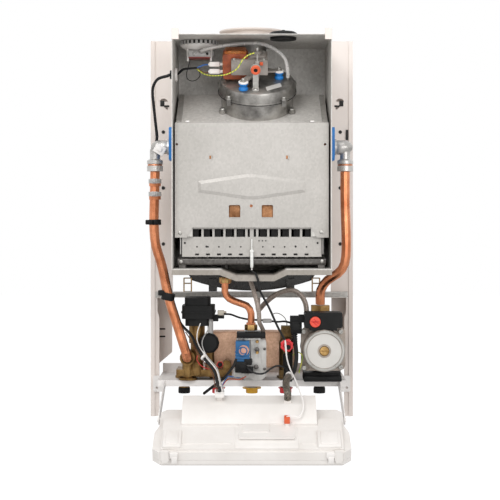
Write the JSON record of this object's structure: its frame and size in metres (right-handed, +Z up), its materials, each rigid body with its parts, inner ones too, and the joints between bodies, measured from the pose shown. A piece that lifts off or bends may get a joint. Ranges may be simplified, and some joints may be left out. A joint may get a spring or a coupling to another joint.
{
  "type": "combi boiler",
  "caption": "Wall-hung gas combi boiler with its outer casing off: folded frame, sealed chamber with fan and burner, copper pipes, pump, brass hydraulics and a hinged-down control box",
  "frame": {"origin": "on the wall plane, midway in width and height between the two ends of the hanging frame, at the centre of the back face of the upper hanging rail and lower cross rail taken together", "axes": "+X is the viewer's right from the front, +Y points into the wall, +Z is up"},
  "size_m": [0.394, 0.4102, 0.7637],
  "materials": {
    "cream_paint": "satin powder coat over folded steel",
    "white_paint": "satin white powder coat",
    "galvanised": "galvanised sheet, dull spangle",
    "aluminised": "aluminised sheet, satin",
    "white_plastic": "moulded, satin",
    "black_plastic": "moulded, satin",
    "copper": "drawn copper, lightly tarnished",
    "dark_steel": "heat-darkened stainless steel",
    "ceramic": "glazed insulator",
    "cast_aluminium": "as cast",
    "laminations": "stacked electrical steel",
    "coil_resin": "varnished winding",
    "blue_rubber": "moulded silicone rubber",
    "silicone": "clear to milky tube",
    "vessel_paint": "dark stove enamel",
    "exchanger_steel": "brazed stainless, copper tint",
    "brass": "forged brass, unpolished",
    "blue_plastic": "moulded coil former",
    "red_plastic": "moulded",
    "pump_casting": "coated cast motor can",
    "orange_plastic": "moulded",
    "box_plastic": "moulded, satin",
    "grey_plastic": "moulded, fine grain",
    "gauge_lens": "clear lens over a dark dial",
    "cable_sheath": "braided or moulded sheath"
  },
  "bodies": {
    "base": {"upright_left": "cream_paint", "upright_right": "cream_paint", "hanging_rail": "cream_paint", "flue_collar": "cream_paint", "bottom_tray": "white_paint", "cross_rail": "galvanised", "sealed_chamber": "galvanised", "flue_hood": "galvanised", "combustion_casing": "galvanised", "port_bracket": "galvanised", "combustion_front": "aluminised", "burner_apron": "aluminised", "casing_tab_left": "white_plastic", "casing_tab_right": "white_plastic", "pressure_switch": "white_plastic", "intake_cap": "black_plastic", "diverter_motor": "black_plastic", "flow_cap": "black_plastic", "pump_body": "black_plastic", "pump_terminal_box": "black_plastic", "heat_exchanger": "copper", "flow_pipe": "copper", "return_pipe": "copper", "gas_pipe": "copper", "burner": "dark_steel", "burner_rail": "dark_steel", "electrode": "ceramic", "fan_housing": "cast_aluminium", "elbow_left": "cast_aluminium", "elbow_right": "cast_aluminium", "gas_valve": "cast_aluminium", "motor_frame": "laminations", "motor_coil": "coil_resin", "isolator_left": "blue_rubber", "isolator_right": "blue_rubber", "seal_left": "blue_rubber", "seal_right": "blue_rubber", "pressure_tube": "silicone", "vessel_hose": "silicone", "vent_hose": "silicone", "expansion_vessel": "vessel_paint", "plate_exchanger": "exchanger_steel", "hydraulic_block": "brass", "relief_valve": "brass", "pump_nut": "brass", "gas_modulator": "blue_plastic", "pump_motor": "pump_casting", "main_harness": "cable_sheath", "ignition_lead": "cable_sheath", "pump_cable": "cable_sheath"},
    "heating_knob": {"heating_knob": "grey_plastic"},
    "water_knob": {"water_knob": "grey_plastic"},
    "reset_button": {"reset_button": "grey_plastic"},
    "fan_rotor": {"fan_rotor": "galvanised"},
    "pump_speed_knob": {"pump_speed_knob": "orange_plastic"},
    "pump_vent_screw": {"pump_vent_screw": "brass"},
    "relief_knob": {"relief_knob": "red_plastic"},
    "control_box": {"control_cover": "box_plastic", "control_fascia": "box_plastic", "pressure_gauge": "gauge_lens"}
  },
  "joints": [
    {"name": "control_box_tilt", "type": "hinge", "parent": "base", "child": "control_box", "pos_m": [0, -0.28, -0.6835], "axis": [-1, 0, 0], "range_deg": [0, 110], "deforming": ["main_harness", "ignition_lead", "pump_cable"]},
    {"name": "heating_knob_turn", "type": "hinge", "parent": "control_box", "child": "heating_knob", "pos_m": [-0.104, -0.32681, -0.71863], "axis": [0, 0.342, -0.9397], "range_deg": [0, 270]},
    {"name": "water_knob_turn", "type": "hinge", "parent": "control_box", "child": "water_knob", "pos_m": [0.104, -0.32681, -0.71863], "axis": [0, 0.342, -0.9397], "range_deg": [0, 270]},
    {"name": "reset_button_press", "type": "slide", "parent": "control_box", "child": "reset_button", "axis": [0, -0.342, 0.9397], "range_m": [0, 0.0015], "stiffness_N_per_m": 600},
    {"name": "fan_spin", "type": "hinge", "parent": "base", "child": "fan_rotor", "pos_m": [0.0099, -0.18867, -0.11777], "axis": [0, -0.4574, 0.8892], "continuous": true},
    {"name": "pump_speed_turn", "type": "hinge", "parent": "base", "child": "pump_speed_knob", "pos_m": [0.1165, -0.208, -0.5145], "axis": [0, -1, 0], "range_deg": [-45, 45]},
    {"name": "pump_vent_turn", "type": "hinge", "parent": "base", "child": "pump_vent_screw", "pos_m": [0.133, -0.214, -0.5675], "axis": [0, -1, 0], "range_deg": [0, 360]},
    {"name": "relief_turn", "type": "hinge", "parent": "base", "child": "relief_knob", "pos_m": [0.065, -0.177, -0.5595], "axis": [0, -1, 0], "range_deg": [0, 90]}
  ]
}
